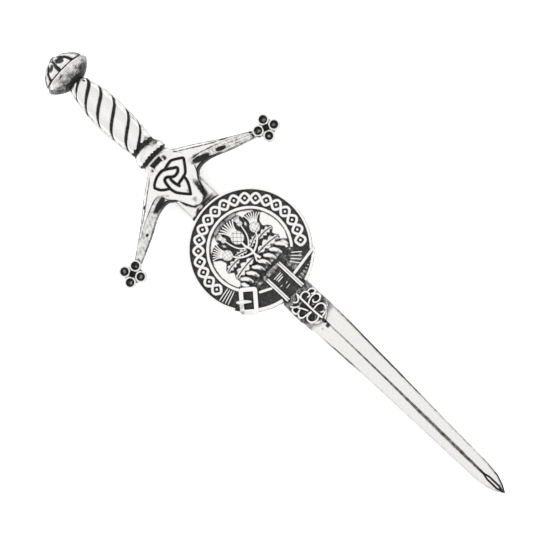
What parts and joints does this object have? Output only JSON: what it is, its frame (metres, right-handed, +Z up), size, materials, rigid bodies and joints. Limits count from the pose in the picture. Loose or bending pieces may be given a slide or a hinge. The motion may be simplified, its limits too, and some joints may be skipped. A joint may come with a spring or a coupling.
{
  "type": "kilt pin",
  "caption": "Sword-shaped kilt pin in antiqued pewter: spiral grip, knotwork guard with quatrefoil ends, and a strap-and-buckle badge over the blade.",
  "frame": {"origin": "on the surface that the pin lies on, under the middle of its length and width", "axes": "+X across the guard, +Y along the sword towards the pommel, +Z up out of the face"},
  "size_m": [0.0386, 0.108, 0.01],
  "materials": {
    "pewter_sword": "cast pewter, polished on the high faces and blackened in the recesses",
    "pewter_badge": "cast pewter, polished relief over a blackened ground",
    "steel_fitting": "nickel-plated steel, bright"
  },
  "bodies": {
    "root": {"sword": "pewter_sword", "crest_badge": "pewter_badge", "brooch_pin": "steel_fitting"}
  },
  "joints": []
}
